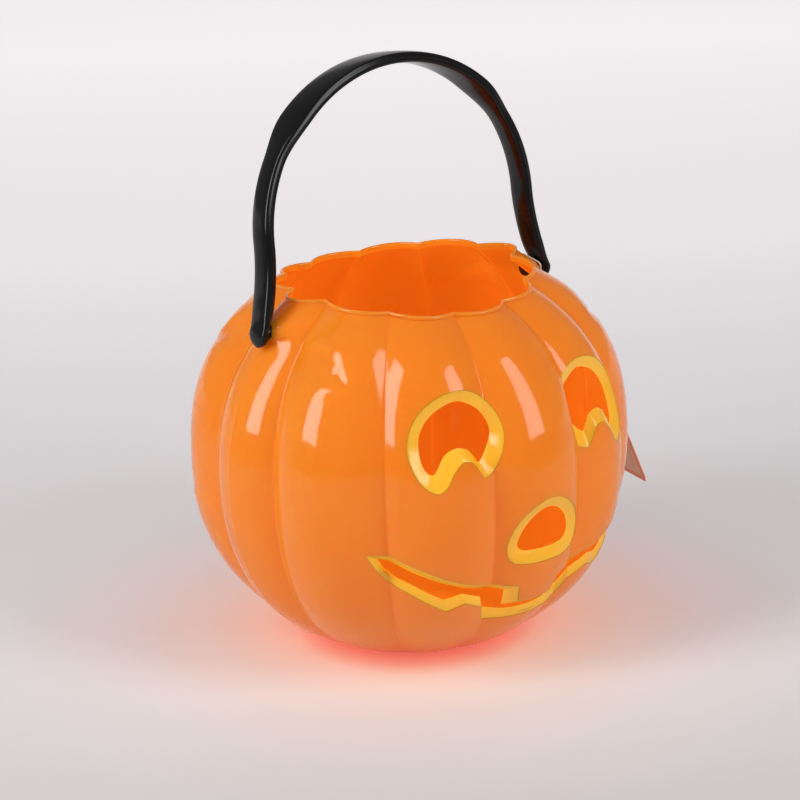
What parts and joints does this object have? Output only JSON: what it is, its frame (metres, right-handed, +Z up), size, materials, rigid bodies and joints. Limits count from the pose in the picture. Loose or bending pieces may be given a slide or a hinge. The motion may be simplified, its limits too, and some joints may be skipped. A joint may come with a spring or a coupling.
{
  "type": "pumpkin lantern",
  "caption": "Open-topped pumpkin-faced pail of glossy orange plastic with yellow-lined cut-out eyes, nose and toothed grin, a swinging black bail handle and a blank hanging tag",
  "frame": {"origin": "Centre of the flat pad in the middle of the underside, which is the vertical axis of the body; the surface that the pail stands on is z = 0.", "axes": "+Z up; the face looks along -Y; +X is the side of the hanging tag, and the handle swings about X"},
  "size_m": [0.2317, 0.2012, 0.2684],
  "materials": {
    "orange_plastic": "glossy translucent moulded plastic",
    "yellow_plastic": "glossy",
    "black_plastic": "satin",
    "pink_card": "uncoated card"
  },
  "bodies": {
    "root": {"pail_shell": "orange_plastic", "eye_liner_left": "yellow_plastic", "eye_liner_right": "yellow_plastic", "nose_liner": "yellow_plastic", "mouth_liner": "yellow_plastic", "hang_tag": "pink_card"},
    "handle": {"handle": "black_plastic"}
  },
  "joints": [
    {"name": "handle_swing", "type": "hinge", "parent": "root", "child": "handle", "pos_m": [0, 0, 0.157], "axis": [1, 0, 0], "range_deg": [-70, 93]}
  ]
}
